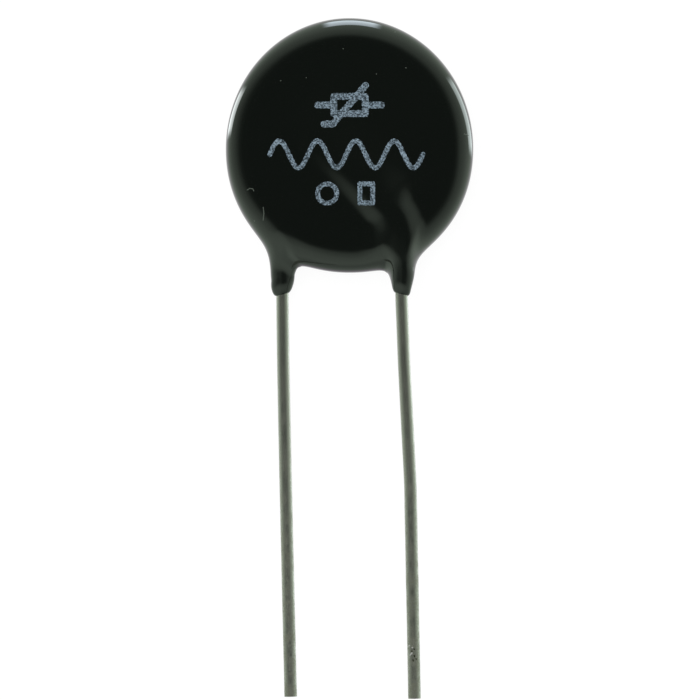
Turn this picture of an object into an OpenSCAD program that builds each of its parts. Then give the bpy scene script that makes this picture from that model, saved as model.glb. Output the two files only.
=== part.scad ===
// Metal oxide varistor: a zinc oxide disc with a silver layer and a soldered wire on each face, dipped in
// black epoxy. It lies on its back, so that the printed face looks up (+Z) and the wires point along -Y.
// The origin is the middle of the footprint, at the lowest point of the coat.

/* [Ceramic disc] */
// Diameter of the ceramic disc
ceramic_d = 14; // [12:0.1:18]
// Thickness of the ceramic disc
ceramic_t = 1.2; // [0.8:0.1:3]
// Thickness of each silver electrode
electrode_t = 0.03; // [0.02:0.01:0.1]
// Bare border of ceramic around each electrode
electrode_border = 0.75; // [0.3:0.05:1.5]

/* [Wires] */
// Diameter of the tinned wire
wire_d = 0.8; // [0.6:0.05:1]
// Distance between the wires where they leave the coat
pitch = 7.5; // [6.5:0.1:8.5]
// How far the middle of the pair lies to the right of the disc's axis
pair_shift = -0.49; // [-1:0.01:1]
// Length of the wires below the coat
lead_len = 25.4; // [20:0.1:40]
// Distance below the coat of the upper and lower slight bend
slight_bends = [4.4, 11.9]; // [3:0.1:16]
// Lean of the front wire to the right as it comes down: upper, middle and lower run, in degrees
front_lean = [2.2, 3, 1.1]; // [-4:0.1:4]
// Lean of the rear wire to the right as it comes down: upper, middle and lower run, in degrees
rear_lean = [0.7, 1.15, 1.35]; // [-4:0.05:4]
// Radius of the slight bends, along the wire's middle
slight_bend_r = 40; // [20:1:60]
// Length of wire between the coat's end and the bend onto the disc
rise = 4.58; // [3:0.02:5]
// Lean of the wires where they cross the disc, in degrees
cross_lean = 43.5; // [20:0.5:50]
// Length of wire that crosses the disc, from the bend's corner
cross_len = 9; // [7:0.1:10]
// Radius of the bend onto the disc, along the wire's middle
cross_bend_r = 2.5; // [1:0.1:4]

/* [Solder] */
// Solder between a wire and its electrode
solder_film = 0.03; // [0.02:0.01:0.1]
// Length of the soldered stretch, from the wire's inner end
solder_len = 6; // [3:0.1:7]
// Half the solder's width on the electrode
solder_foot = 1; // [0.8:0.05:1.5]
// Half the solder's width at its top
solder_crown = 0.6; // [0.55:0.05:0.75]
// Height of the solder above the electrode
solder_h = 0.38; // [0.2:0.01:0.5]

/* [Coat] */
// Epoxy around the edge of the ceramic
edge_cover = 0.8; // [0.5:0.05:1.5]
// Epoxy over the wires where they cross the disc
face_cover = 0.3; // [0.2:0.05:1]
// Extra epoxy at the top edge, where the wet coat ran before it set
top_run = 0.45; // [0:0.05:1]
// Width of the rounded rim, measured inwards from the edge
rim_w = 1.5; // [1:0.05:2]
// How much wider the rim is at the bottom
rim_low = 0.2; // [0:0.05:0.5]
// Squareness of the lower outline: 2 is a plain circle
lower_square = 2.085; // [2:0.005:2.2]
// How far the coat's legs reach below the disc's edge
leg_drop = 1.35; // [1:0.05:3]
// Epoxy around the wire in a leg
leg_skin = 0.35; // [0.25:0.05:0.6]
// Epoxy left around the wire at a leg's end
end_skin = 0.07; // [0.05:0.01:0.2]
// How much a leg thickens, front to back, just above its end
end_round = 0.08; // [0:0.01:0.15]
// Length over which a leg thins down to its end
leg_taper = 1.6; // [0.8:0.05:2]
// How far the middle of the front and of the rear leg lies to the right of its wire, above its end
leg_shift = [0.09, 0.04]; // [0:0.01:0.1]
// Slant of a leg's end, lower on its outer side, in degrees
leg_slant = 14; // [0:1:25]
// Softness of the web on a leg's outer side
outer_web = 0.45; // [0.2:0.05:0.6]
// Softness of the web on a leg's inner side
inner_web = 0.37; // [0.2:0.01:0.5]
// Height of the ridge that a wire raises on its face
ridge_h = 0.52; // [0.1:0.01:0.6]
// Extra height of the ridge at the wire's bend
knee_h = 0.2; // [0:0.05:0.4]
// Length above the bend over which that extra height fades
knee_len = 3; // [1:0.1:4]
// Length above the bend over which the ridge itself fades
ridge_len = 9.5; // [6:0.1:12]
// Half the width of the ridge's crest, on the inside and the outside of the bend
ridge_crest = [0.1, 0.35]; // [0:0.05:0.6]
// Half the width of the ridge at its foot where its flanks are steep, inside and outside
ridge_steep = [1.72, 1.9]; // [1.2:0.02:2.4]
// Half the width of the ridge at its foot where its flanks are gentle, inside and outside
ridge_gentle = [2.8, 3.2]; // [2:0.1:4]

/* [Printed mark] */
// Thickness of the ink
ink_t = 0.05; // [0.03:0.01:0.1]
// How deep the ink is keyed into the coat
ink_key = 0.02; // [0.01:0.01:0.02]
// Place of the symbol, from the disc's axis
symbol_at = [0, 2.7]; // [-3:0.1:3]
// Width and height of the symbol's box
symbol_box = [2.4, 1.5]; // [1:0.1:3]
// Length and height of the symbol's stroke
symbol_stroke = [2.1, 2.8]; // [1.5:0.1:3]
// Length of the foot of the symbol's stroke
symbol_foot = 0.75; // [0.4:0.05:1]
// Length of each stub beside the symbol's box
symbol_stub = 0.8; // [0.3:0.05:1]
// Width of the symbol's lines
symbol_line = 0.42; // [0.2:0.02:0.46]
// Place of the wave, from the disc's axis
wave_at = [-0.2, -0.4]; // [-1:0.1:1]
// Length of the wave
wave_len = 9.6; // [6:0.1:10]
// Number of periods in the wave
wave_periods = 4; // [2:1:6]
// Height of the wave's crests
wave_h = 0.85; // [0.4:0.05:1.1]
// Width of the wave's line
wave_line = 0.3; // [0.2:0.02:0.4]
// Place of the ring, from the disc's axis
ring_at = [-1.4, -2.85]; // [-3:0.05:0]
// Diameter of the ring
ring_d = 1.5; // [1:0.1:2]
// Width of the ring's line
ring_line = 0.3; // [0.2:0.02:0.4]
// Place of the window, from the disc's axis
window_at = [1.05, -2.85]; // [-3:0.05:3]
// Width and height of the window
window_size = [1.1, 1.5]; // [0.9:0.1:2]
// Width of the window's line
window_line = 0.3; // [0.2:0.02:0.4]

/* [Hidden] */
$fn = 64;

FRONT = 1;
REAR = -1;

// The bends are this much thinner than the straight runs, and end this deep inside them, so that no two
// round surfaces touch along a line
bend_step = 0.005;
bend_tuck = 0.1;

// The disc's axis is x = 0, y = 0 from here on, and z = 0 is the middle of the ceramic
wire_r = wire_d / 2;
coat_r = ceramic_d / 2 + edge_cover;
coat_top = coat_r + top_run;
electrode_r = ceramic_d / 2 - electrode_border;
electrode_z = ceramic_t / 2 + electrode_t;
wire_z = electrode_z + solder_film + wire_r;
face_z = wire_z + wire_r + face_cover;
crest_h = ridge_h + knee_h;
exit_y = -coat_r - leg_drop;
tip_y = exit_y - lead_len;

// The front wire is the right one of the pair, and the rear wire the left one
function exit_x(side) = pair_shift + side * pitch / 2;
function lean(side) = side == FRONT ? front_lean : rear_lean;
function down(a) = [sin(a), -cos(a)];

// Corners of a wire's path, from its inner end to its tip
function wire_corners(side) =
    let (a = lean(side),
         out = [exit_x(side), exit_y],
         bend = out - rise * down(a[0]),
         inner = bend - cross_len * down(side * cross_lean),
         knee1 = out + slight_bends[0] * down(a[0]),
         knee2 = knee1 + (slight_bends[1] - slight_bends[0]) * down(a[1]),
         tip = knee2 + (knee2.y - tip_y) / cos(a[2]) * down(a[2]))
    [inner, bend, knee1, knee2, tip];

function unit(v) = v / norm(v);
function smooth(t) = let (c = min(max(t, 0), 1)) c * c * (3 - 2 * c);
function mix(a, b, t) = a + (b - a) * t;

// Depth of a point inside the disc's outline, in millimetres, and less than 0 outside it
function disc_depth(p) =
    let (e = p.y > 0 ? 2 : lower_square,
         h = p.y > 0 ? coat_top : coat_r)
    coat_r * (1 - pow(pow(abs(p.x) / coat_r, e) + pow(abs(p.y) / h, e), 1 / e));

// Middle of a leg at height y, and the distance of a point above its slanted end
function leg_x(side, y) =
    exit_x(side) - (y - exit_y) * tan(lean(side)[0])
        + leg_shift[side == FRONT ? 0 : 1] * smooth((y - exit_y) / leg_taper);
function above_end(side, p) = p.y - exit_y + side * tan(leg_slant) * (p.x - leg_x(side, p.y));
function leg_half(s) = wire_r + end_skin + (leg_skin - end_skin) * sin(90 * min(max(s / leg_taper, 0), 1));
function leg_depth(side, p, soft = 0) =
    let (s = above_end(side, p))
    leg_half(s) - norm([p.x - leg_x(side, p.y), soft]) + soft - max(-s, 0) - max(p.y + coat_r / 2, 0);

// Two depths joined with a soft web of softness k
function soft_join(a, b, k) = let (m = max(a, b)) m + k * ln(exp((a - m) / k) + exp((b - m) / k));
function web(side, p) = mix(inner_web, outer_web, smooth(side * (p.x - leg_x(side, p.y)) / wire_d + 0.5));
function join_leg(side, p, depth) = soft_join(depth, leg_depth(side, p), web(side, p));
function depth(p) = join_leg(REAR, p, join_leg(FRONT, p, disc_depth(p)));

// How much of a point belongs to a leg: 0 on the disc and 1 down the leg, with no crease along the leg
leg_begins = 0.4;
leg_whole = 1.65;
leg_soft = 0.35;
function leg_share(side, p) =
    smooth((leg_depth(side, p, leg_soft) - disc_depth(p) + leg_begins) / (leg_begins + leg_whole));

// Height of a leg's crest over its wire's middle. It rises up the leg and levels out at the wire's bend, more
// suddenly with a higher power
end_len = 0.45;
crest_power = 7;
function leg_height(s) =
    let (t = min(max(s / rise, 0), 1),
         low = wire_r + end_skin + end_round,
         high = face_z + crest_h - wire_z)
    low - end_round * (1 - smooth(s / end_len))
        + (high - low) * (crest_power * t - pow(t, crest_power)) / (crest_power - 1);

// Distance of a point from the straight stretch between a and b
function off_stretch(p, a, b) =
    let (u = unit(b - a),
         t = min(max((p - a) * u, 0), norm(b - a)))
    norm(p - a - t * u);

// Distance of a point from a wire's path above its exit: a straight stretch, the bend and another stretch
function off_path(side, p) =
    let (c = wire_corners(side),
         out = [exit_x(side), exit_y],
         u = unit(c[1] - out),
         v = unit(c[0] - c[1]),
         turn = atan2(cross(u, v), u * v),
         trim = cross_bend_r * tan(abs(turn) / 2),
         normal = sign(turn) * [-u.y, u.x],
         q = p - (c[1] - trim * u + cross_bend_r * normal))
    q * u > 0 && q * v < 0 && q * normal < 0
        ? abs(norm(q) - cross_bend_r)
        : min(off_stretch(p, out, c[1] - trim * u), off_stretch(p, c[1] + trim * v, c[0]));

// Height of the ridge over a wire. Its crest runs on from the leg's and fades towards the wire's inner end. On
// the inside, its flank is gentle at the bend and steep above it. On the outside it is the other way round
bend_soft = 0.6;
steep_above = -0.6;
steep_over = 2;
gentle_above = 1.75;
gentle_over = 1.5;
function flank(across, crest, foot) = 1 - smooth((across - crest) / (foot - crest));
function ridge(side, p) =
    let (c = wire_corners(side),
         u = unit(c[0] - c[1]),
         q = p - c[1],
         along = q * u,
         inside = max(side * (p.x - leg_x(side, p.y)), side * cross(q, u)) < 0,
         i = inside ? 0 : 1,
         steepness = smooth(inside ? (along - steep_above) / steep_over
                                   : (gentle_above - along) / gentle_over),
         up = (along + norm([along, bend_soft])) / 2,
         crest = knee_h * (1 - smooth(up / knee_len)) + ridge_h * max(1 - pow(up / ridge_len, 2), 0),
         fall = face_z + crest_h - wire_z - leg_height(p.y - exit_y),
         across = off_path(side, p))
    (crest - fall) * mix(flank(across, ridge_crest[i], ridge_gentle[i]),
                         flank(across, ridge_crest[i], ridge_steep[i]), steepness);

// Width of the rounded rim at height y, and how near a point is to a leg's middle, where the crest carries on
// over the rim
rim_low_from = -2;
rim_low_over = 5;
near_from = 0.3;
near_to = 1.3;
near_top = -3;
near_over = 1.5;
function rim_at(y) = rim_w + rim_low * smooth((rim_low_from - y) / rim_low_over);
function near(side, p) =
    smooth((near_to - abs(p.x - leg_x(side, p.y))) / (near_to - near_from))
        * smooth((near_top - p.y) / near_over);

// Height of the coat's front (side = 1) or back (side = -1) surface over a point of its outline's inside
function coat_z(side, p) =
    let (front = leg_share(FRONT, p),
         rear = leg_share(REAR, p),
         share = max(front, rear),
         s = above_end(front > rear ? FRONT : REAR, p),
         rim_here = mix(rim_at(p.y), leg_half(above_end(side, p)), near(side, p)),
         w = mix(rim_here, leg_half(s), share),
         round = sqrt(1 - pow(1 - min(max(depth(p) / w, 0), 1), 2)))
    wire_z * (front - rear) + side * round * mix(face_z + ridge(side, p), leg_height(s), share);

// Where the outline crosses the line from a point inside it to a point outside it
function edge(a, b, n = 26) =
    let (m = (a + b) / 2)
    n == 0 ? m : depth(m) > 0 ? edge(m, b, n - 1) : edge(a, m, n - 1);

// The coat's surface is a fan of rings over the disc, and rows of points down each leg
leg_cells = 8;
rim_rings = 6;
face_rings = 6;
free_cells = 46;
bottom_cells = 9;
root_outer = 1.7;
function root_inner(side) = side == FRONT ? -0.04 : 0.4;
swing_rows = [0, 0.3, 0.58, 0.82, 1];
end_rows = [0.85, 0.62, 0.42, 0.25, 0.1, 0];
last_row = len(swing_rows) + len(end_rows) - 2;

// Ends of a leg's row on the outline. The first rows swing from the disc's edge to the slant of the leg's
// end, and the others step down to it
function leg_row_ends(side, row) =
    let (t = swing_rows[min(row, len(swing_rows) - 1)],
         end_y = exit_y + end_rows[max(row - len(swing_rows) + 1, 0)])
    [for (out = [-1, 1])
        let (y = mix(-coat_r + (out > 0 ? root_outer : root_inner(side)), end_y, t),
             a = [leg_x(side, y), y],
             reach = out > 0 ? coat_r : wire_r + 1)
        edge(a, a + reach * out * [side, -t * tan(leg_slant)])];

function leg_row(side, row) =
    let (e = leg_row_ends(side, row),
         left = e[0].x < e[1].x ? e[0] : e[1],
         right = e[0].x < e[1].x ? e[1] : e[0])
    [for (i = [0:leg_cells]) mix(left, right, (1 - cos(180 * i / leg_cells)) / 2)];

function bearing(p) = atan2(p.x, -p.y);
function ray_edge(a) = edge(2 * down(a), 2 * coat_top * down(a));
function arc_edges(a, b, cells) = [for (i = [1:cells - 1]) ray_edge(mix(a, b, i / cells))];

right_root = leg_row(FRONT, 0);
left_root = leg_row(REAR, 0);
rim = concat(
    right_root,
    arc_edges(bearing(right_root[leg_cells]), 360 + bearing(left_root[0]), free_cells),
    left_root,
    arc_edges(bearing(left_root[leg_cells]), bearing(right_root[0]), bottom_cells));
rim_n = len(rim);
left_first = leg_cells + free_cells;

// Rings run from the rim to the middle, and leg points follow them
ring_n = rim_rings + face_rings;
function ring_scale(p, j) =
    j <= rim_rings ? 1 - rim_w * (1 - cos(90 * j / rim_rings)) / norm(p)
                   : (1 - rim_w / norm(p)) * (1 - (j - rim_rings) / face_rings);
function ring_point(j, k) = rim[k] * ring_scale(rim[k], j);
disc_points = [for (j = [0:ring_n - 1]) for (k = [0:rim_n - 1]) ring_point(j, k)];
leg_points = [for (side = [FRONT, REAR]) for (row = [1:last_row]) each leg_row(side, row)];
plan = concat(disc_points, leg_points, [[0, 0]]);
plan_n = len(plan);
middle = plan_n - 1;

function disc_index(j, k) = j * rim_n + k % rim_n;
function leg_index(side, row, i) =
    row == 0 ? disc_index(0, (side == FRONT ? 0 : left_first) + i)
             : len(disc_points) + ((side == FRONT ? 0 : last_row) + row - 1) * (leg_cells + 1) + i;

// Points on the outline belong to the front and the back surface alike
function in_root(k) = (k > 0 && k < leg_cells) || (k > left_first && k < left_first + leg_cells);
function leg_column(n) = (n - len(disc_points)) % (leg_cells + 1);
function on_outline(n) =
    n < rim_n ? !in_root(n)
              : n >= len(disc_points) && n < middle && leg_column(n) % leg_cells == 0;

coat_points = [
    for (side = [FRONT, REAR]) for (n = [0:plan_n - 1])
        let (p = plan[n])
        [p.x, p.y, on_outline(n) ? wire_z * (leg_share(FRONT, p) - leg_share(REAR, p)) : coat_z(side, p)]];

function quad(a, b, c, d) = [[a, b, c], [a, c, d]];
front_faces = concat(
    [for (j = [0:ring_n - 2]) for (k = [0:rim_n - 1])
        each quad(disc_index(j + 1, k), disc_index(j + 1, k + 1), disc_index(j, k + 1), disc_index(j, k))],
    [for (k = [0:rim_n - 1]) [middle, disc_index(ring_n - 1, k + 1), disc_index(ring_n - 1, k)]],
    [for (side = [FRONT, REAR]) for (row = [0:last_row - 1]) for (i = [0:leg_cells - 1])
        each quad(leg_index(side, row, i), leg_index(side, row, i + 1),
                  leg_index(side, row + 1, i + 1), leg_index(side, row + 1, i))]);

function back_of(n) = on_outline(n) ? n : n + plan_n;
back_faces = [for (f = front_faces) [back_of(f[2]), back_of(f[1]), back_of(f[0])]];
end_faces = [for (side = [FRONT, REAR]) for (i = [0:leg_cells - 1])
    let (a = leg_index(side, last_row, i),
         b = leg_index(side, last_row, i + 1))
    each quad(a, b, back_of(b), back_of(a))];
coat_faces = [for (f = concat(front_faces, back_faces, end_faces))
    if (f[0] != f[1] && f[1] != f[2] && f[2] != f[0]) f];

// The part rests on the crest of its back ridge, and its footprint is centred on the origin
seat_z = -min([for (p = coat_points) p.z]);
seat_y = -(coat_top + tip_y) / 2;
module seated() translate([0, seat_y, seat_z]) children();

// A straight run of wire between two points of its path
module wire_run(a, b)
    translate([a.x, a.y, 0])
        rotate([0, 90, atan2(b.y - a.y, b.x - a.x)])
            cylinder(h = norm(b - a), r = wire_r);

// A bend of the given radius between two straight runs that point along u and v
module wire_bend(corner, u, v, r) {
    turn = atan2(cross(u, v), u * v);
    hand = sign(turn);
    start = corner - r * tan(abs(turn) / 2) * u;
    tuck = bend_tuck / r * 180 / PI;
    translate([start.x, start.y, 0])
        rotate([0, 0, atan2(u.y, u.x)])
            translate([0, hand * r, 0])
                rotate([0, 0, -hand * 90 - (hand > 0 ? tuck : abs(turn) + tuck)])
                    rotate_extrude(angle = abs(turn) + 2 * tuck)
                        translate([r, 0])
                            circle(r = wire_r - bend_step);
}

// A whole wire, in its own plane, from its inner end to its tip
module wire_path(side) {
    c = wire_corners(side);
    r = [cross_bend_r, slight_bend_r, slight_bend_r];
    dir = [for (i = [0:len(c) - 2]) unit(c[i + 1] - c[i])];
    trim = [for (i = [0:len(r) - 1])
        r[i] * tan(abs(atan2(cross(dir[i], dir[i + 1]), dir[i] * dir[i + 1])) / 2)];
    last = len(dir) - 1;
    for (i = [0:last])
        wire_run(c[i] + (i == 0 ? 0 : trim[i - 1]) * dir[i], c[i + 1] - (i == last ? 0 : trim[i]) * dir[i]);
    for (i = [0:len(r) - 1])
        if (trim[i] > 0) wire_bend(c[i + 1], dir[i], dir[i + 1], r[i]);
}

module lead(side) translate([0, 0, side * wire_z]) wire_path(side);

module electrode(side)
    mirror([0, 0, side == FRONT ? 0 : 1])
        translate([0, 0, ceramic_t / 2])
            cylinder(h = electrode_t, r = electrode_r);

// The solder lies along the wire's inner end: sloping sides, and the same slope around both ends
module solder_bead(side) {
    c = wire_corners(side);
    dir = unit(c[1] - c[0]);
    half = [[0, 0], [solder_foot, 0], [solder_crown, solder_h], [0, solder_h]];
    mirror([0, 0, side == FRONT ? 0 : 1])
        translate([c[0].x, c[0].y, electrode_z])
            rotate([0, 0, atan2(dir.y, dir.x)]) {
                rotate_extrude() polygon(half);
                translate([solder_len, 0, 0]) rotate_extrude() polygon(half);
                rotate([90, 0, 90])
                    linear_extrude(solder_len)
                        polygon([[-solder_foot, 0], [solder_foot, 0], [solder_crown, solder_h],
                                 [-solder_crown, solder_h]]);
            }
}

module frame(size, line)
    difference() {
        square(size, center = true);
        square(size - 2 * [line, line], center = true);
    }

module symbol() translate(symbol_at) {
    frame(symbol_box, symbol_line);
    for (side = [-1, 1])
        translate([side * (symbol_box.x + symbol_stub) / 2, 0])
            square([symbol_stub + symbol_line, symbol_line], center = true);
    low = -symbol_stroke / 2;
    lean_x = symbol_line / 2 * norm(symbol_stroke) / symbol_stroke.y;
    polygon([[low.x - lean_x, low.y], [low.x + lean_x, low.y], [-low.x + lean_x, -low.y],
             [-low.x - lean_x, -low.y]]);
    translate([low.x - symbol_foot, low.y]) square([symbol_foot + lean_x, symbol_line]);
}

// A point at share t of the wave's length, off to the side of its middle line
wave_turn = 360 * wave_periods;
function wave_point(t, off) =
    let (slope = wave_h * wave_turn * PI / 180 / wave_len * cos(wave_turn * t))
    [wave_len * (t - 0.5), wave_h * sin(wave_turn * t)] + off * unit([-slope, 1]);

module wave() {
    steps = 12 * wave_periods;
    translate(wave_at)
        polygon(concat(
            [for (i = [0:steps]) wave_point(i / steps, -wave_line / 2)],
            [for (i = [steps:-1:0]) wave_point(i / steps, wave_line / 2)]));
}

module ring_and_window() {
    translate(ring_at)
        difference() {
            circle(d = ring_d);
            circle(d = ring_d - 2 * ring_line);
        }
    translate(window_at) frame(window_size, window_line);
}

// A layer that follows the coat's front face inside the rim, from the height low to the height high above it
face_n = face_rings * rim_n + 1;
function face_index(j, k) = j * rim_n + k % rim_n;
module face_layer(low, high) {
    face = concat([for (j = [rim_rings:ring_n - 1]) for (k = [0:rim_n - 1]) coat_points[disc_index(j, k)]],
                  [coat_points[middle]]);
    top = concat(
        [for (j = [0:face_rings - 2]) for (k = [0:rim_n - 1])
            each quad(face_index(j + 1, k), face_index(j + 1, k + 1), face_index(j, k + 1), face_index(j, k))],
        [for (k = [0:rim_n - 1]) [face_n - 1, face_index(face_rings - 1, k + 1), face_index(face_rings - 1, k)]]);
    polyhedron(
        [for (z = [high, low]) for (p = face) p + [0, 0, z]],
        concat(top,
               [for (f = top) [f[2] + face_n, f[1] + face_n, f[0] + face_n]],
               [for (k = [0:rim_n - 1])
                   each quad(k, face_index(0, k + 1), face_index(0, k + 1) + face_n, k + face_n)]));
}

// The ink follows the face over the ridge
module ink()
    intersection() {
        translate([0, 0, face_z - crest_h])
            linear_extrude(3 * crest_h) {
                symbol();
                wave();
                ring_and_window();
            }
        face_layer(-ink_key, ink_t - ink_key);
    }

module ceramic() translate([0, 0, -ceramic_t / 2]) cylinder(h = ceramic_t, r = ceramic_d / 2);

module epoxy_coat() seated() color("#1b1f1c")
    difference() {
        polyhedron(coat_points, coat_faces, convexity = 6);
        union() {
            ceramic();
            for (side = [FRONT, REAR]) {
                electrode(side);
                solder_bead(side);
                lead(side);
            }
        }
        ink();
    }

module ceramic_disc() seated() color("#4b4f50") ceramic();
module front_electrode() seated() color("#c9cac6") electrode(FRONT);
module rear_electrode() seated() color("#c9cac6") electrode(REAR);

module solder(side) seated() color("#a9adae")
    difference() {
        solder_bead(side);
        lead(side);
    }
module front_solder() solder(FRONT);
module rear_solder() solder(REAR);

module front_lead() seated() color("#8f928c") lead(FRONT);
module rear_lead() seated() color("#8f928c") lead(REAR);
module printed_mark() seated() color("#a9bcc8") ink();

epoxy_coat();
ceramic_disc();
front_electrode();
rear_electrode();
front_solder();
rear_solder();
front_lead();
rear_lead();
printed_mark();
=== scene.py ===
# %% [markdown]
# # A metal oxide varistor
# This small part guards a circuit against voltage spikes. A disc of zinc oxide ceramic carries a silver
# layer and a soldered wire on each face, and the whole disc is dipped in black epoxy, which runs a little
# way down each wire. The CAD model gives every piece its place. This lesson dresses it: it makes the coat
# and the wires again from the same rules with many more points, prints the marks, and gives each piece its
# material.

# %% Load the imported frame
import math

import bpy
import numpy as np
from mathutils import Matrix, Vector, noise


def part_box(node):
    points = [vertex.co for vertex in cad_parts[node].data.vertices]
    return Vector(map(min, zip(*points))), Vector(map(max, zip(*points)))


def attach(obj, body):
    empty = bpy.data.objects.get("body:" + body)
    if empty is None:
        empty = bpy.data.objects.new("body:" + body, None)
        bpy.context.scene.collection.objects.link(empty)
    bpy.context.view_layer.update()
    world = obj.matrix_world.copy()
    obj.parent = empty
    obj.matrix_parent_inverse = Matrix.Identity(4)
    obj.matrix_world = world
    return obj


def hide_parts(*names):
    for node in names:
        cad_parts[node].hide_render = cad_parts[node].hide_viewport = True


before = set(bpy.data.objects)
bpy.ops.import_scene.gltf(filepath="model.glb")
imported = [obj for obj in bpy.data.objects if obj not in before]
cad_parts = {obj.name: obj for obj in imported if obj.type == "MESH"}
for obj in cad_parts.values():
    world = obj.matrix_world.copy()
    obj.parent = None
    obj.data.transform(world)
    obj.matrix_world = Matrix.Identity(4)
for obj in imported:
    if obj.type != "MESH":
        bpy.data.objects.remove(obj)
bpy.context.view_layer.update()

# %% [markdown]
# ## Sizes
# The rules for the coat's shape are the same as in the CAD source, so they need the same numbers. They are in
# millimetres, measured from the disc's axis, with z = 0 in the middle of the ceramic. The frame says where
# that point lies in the model.

# %% Sizes, in millimetres
MM = 0.001
FRONT, REAR = 1, -1
disc_low, disc_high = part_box("ceramic_disc")
SEAT = np.array((disc_low + disc_high) / 2) / MM

# A wire's radius, and how far its middle lies from the disc's middle plane
WIRE_R, WIRE_Z = 0.4, 1.06
# The coat's half width, its reach above the disc's axis, and the height of its flat face
COAT_R, COAT_TOP, FACE_Z = 7.8, 8.25, 1.76
# Width of the rounded rim, and how much wider it gets at the bottom
RIM_W, RIM_LOW = 1.5, 0.2
# Exponent of the lower half of the outline, which is a little squarer than an ellipse with its 2
LOWER_SQUARE = 2.085
# Where the wires leave the coat, where they end, and the lean of their three runs in degrees
EXIT_Y, EXIT_X = -9.15, {FRONT: 3.26, REAR: -4.24}
TIP_Y = -34.55
LEANS = {FRONT: (2.2, 3, 1.1), REAR: (0.7, 1.15, 1.35)}
print("Middle of the disc, in mm:", SEAT.round(3))

# %% [markdown]
# ## The wires' path
# Each wire lies on one face of the disc, crosses it at a slant, bends, leaves the coat and comes down in
# three nearly straight runs. Such a path could be drawn by hand as a curve. Here it is worked out from a few
# lengths and angles, and it comes first, because the coat's ridges follow it too. A bend is an arc that
# touches the two runs beside it.

# %% Corners of a wire
# Height of the sharp bend above the exit, and length and lean of the stretch across the disc
RISE, CROSS_LEN, CROSS_LEAN = 4.58, 9, 43.5
# Distances of the two slight bends below the exit, and the radii of all three bends
SLIGHT_BENDS = (4.4, 11.9)
BEND_RADII = (2.5, 40, 40)


def down(degrees):
    """A step of length 1 at this many degrees to the right of straight down."""
    angle = np.radians(degrees)
    return np.stack([np.sin(angle), -np.cos(angle)], axis=-1)


def wire_corners(side):
    """The wire's inner end, its three bends and its tip, as points of the plan."""
    upper, middle, lower = LEANS[side]
    out = np.array([EXIT_X[side], EXIT_Y])
    bend = out - RISE * down(upper)
    inner = bend - CROSS_LEN * down(side * CROSS_LEAN)
    knee_1 = out + SLIGHT_BENDS[0] * down(upper)
    knee_2 = knee_1 + (SLIGHT_BENDS[1] - SLIGHT_BENDS[0]) * down(middle)
    tip = knee_2 + (knee_2[1] - TIP_Y) / math.cos(math.radians(lower)) * down(lower)
    return [inner, bend, knee_1, knee_2, tip]


print("The front wire's sharp bend, in mm:", wire_corners(FRONT)[1].round(2))


# %% Arcs at its bends
def unit(v):
    return v / np.linalg.norm(v)


def arc(corner, before, after, radius, steps=16):
    """Points of the arc that rounds a corner."""
    u, v = unit(corner - before), unit(after - corner)
    turn = math.atan2(u[0] * v[1] - u[1] * v[0], u @ v)
    trim = radius * math.tan(abs(turn) / 2)
    normal = np.array([-u[1], u[0]]) * math.copysign(radius, turn)
    centre = corner - trim * u + normal
    for step in range(steps + 1):
        a = turn * step / steps
        c, s = math.cos(a), math.sin(a)
        yield centre + np.array([[c, -s], [s, c]]) @ -normal


def wire_path(side):
    """All points of a wire's middle line, from its inner end to its tip."""
    corners = wire_corners(side)
    path = [corners[0]]
    for i, radius in enumerate(BEND_RADII, start=1):
        path.extend(arc(corners[i], corners[i - 1], corners[i + 1], radius))
    return np.array(path + [corners[-1]])


for side, name in ((FRONT, "front"), (REAR, "rear")):
    run = np.linalg.norm(np.diff(wire_path(side), axis=0), axis=1).sum()
    print(f"The {name} wire is {run:.1f} mm long")

# %% [markdown]
# ## The coat's rules
# A dipped coat is rounded where liquid was pulled round by its own surface tension. It could be sculpted, or
# melted together from metaballs. Three simple rules are used instead, because they give the CAD model's own
# coat at any fineness. The depth of a point inside the outline joins the disc and the two legs with soft
# webs. The height over the point rises from the outline like a quarter of an ellipse and then stays flat.
# And a ridge stands over each wire, because the epoxy follows what lies under it. Its crest runs up the leg
# and levels out at the wire's bend. Its flanks are steep or gentle, as the wet coat hung on the bent wire.
# The legs' ends are rounded in onto the wires, and the rear leg swells a little where a last drop set.

# %% Outline of a leg
# A leg ends as a skin over the wire and flares out above, over the length of its taper
LEG_FLARE, END_SKIN, LEG_TAPER = 0.25, 0.1, 1.6
# Length over which the end's corners round in
END_CORNER = 0.25
# How much a leg swells on each side, and over what length above its end
END_SWELL, SWELL_LEN = {FRONT: 0, REAR: 0.07}, 1.05
# How far a leg lies to the right of its wire, and the slant of its end
LEG_SHIFT, LEG_SLANT = {FRONT: 0.09, REAR: 0.04}, math.tan(math.radians(14))


def smooth(t):
    """Rises gently from 0 to 1 while t does, and stays level before and after."""
    t = np.clip(t, 0, 1)
    return t * t * (3 - 2 * t)


def leg_x(side, y):
    """Where a leg's middle line is at this y."""
    lean = math.tan(math.radians(LEANS[side][0]))
    return EXIT_X[side] - (y - EXIT_Y) * lean + LEG_SHIFT[side] * smooth((y - EXIT_Y) / LEG_TAPER)


def above_end(side, x, y):
    """Distance up a leg from its slanted end."""
    return y - EXIT_Y + side * LEG_SLANT * (x - leg_x(side, y))


def leg_half(s, swell):
    """Half a leg's width at a distance s above its end, where its corners are rounded in onto the wire."""
    corner = np.sqrt(1 - (1 - np.clip(s / END_CORNER, 0, 1)) ** 2)
    skin = END_SKIN * corner + swell * np.sin(math.pi * np.clip(s / SWELL_LEN, 0, 1))
    return WIRE_R + skin + LEG_FLARE * np.sin(math.pi / 2 * np.clip(s / LEG_TAPER, 0, 1))


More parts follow.
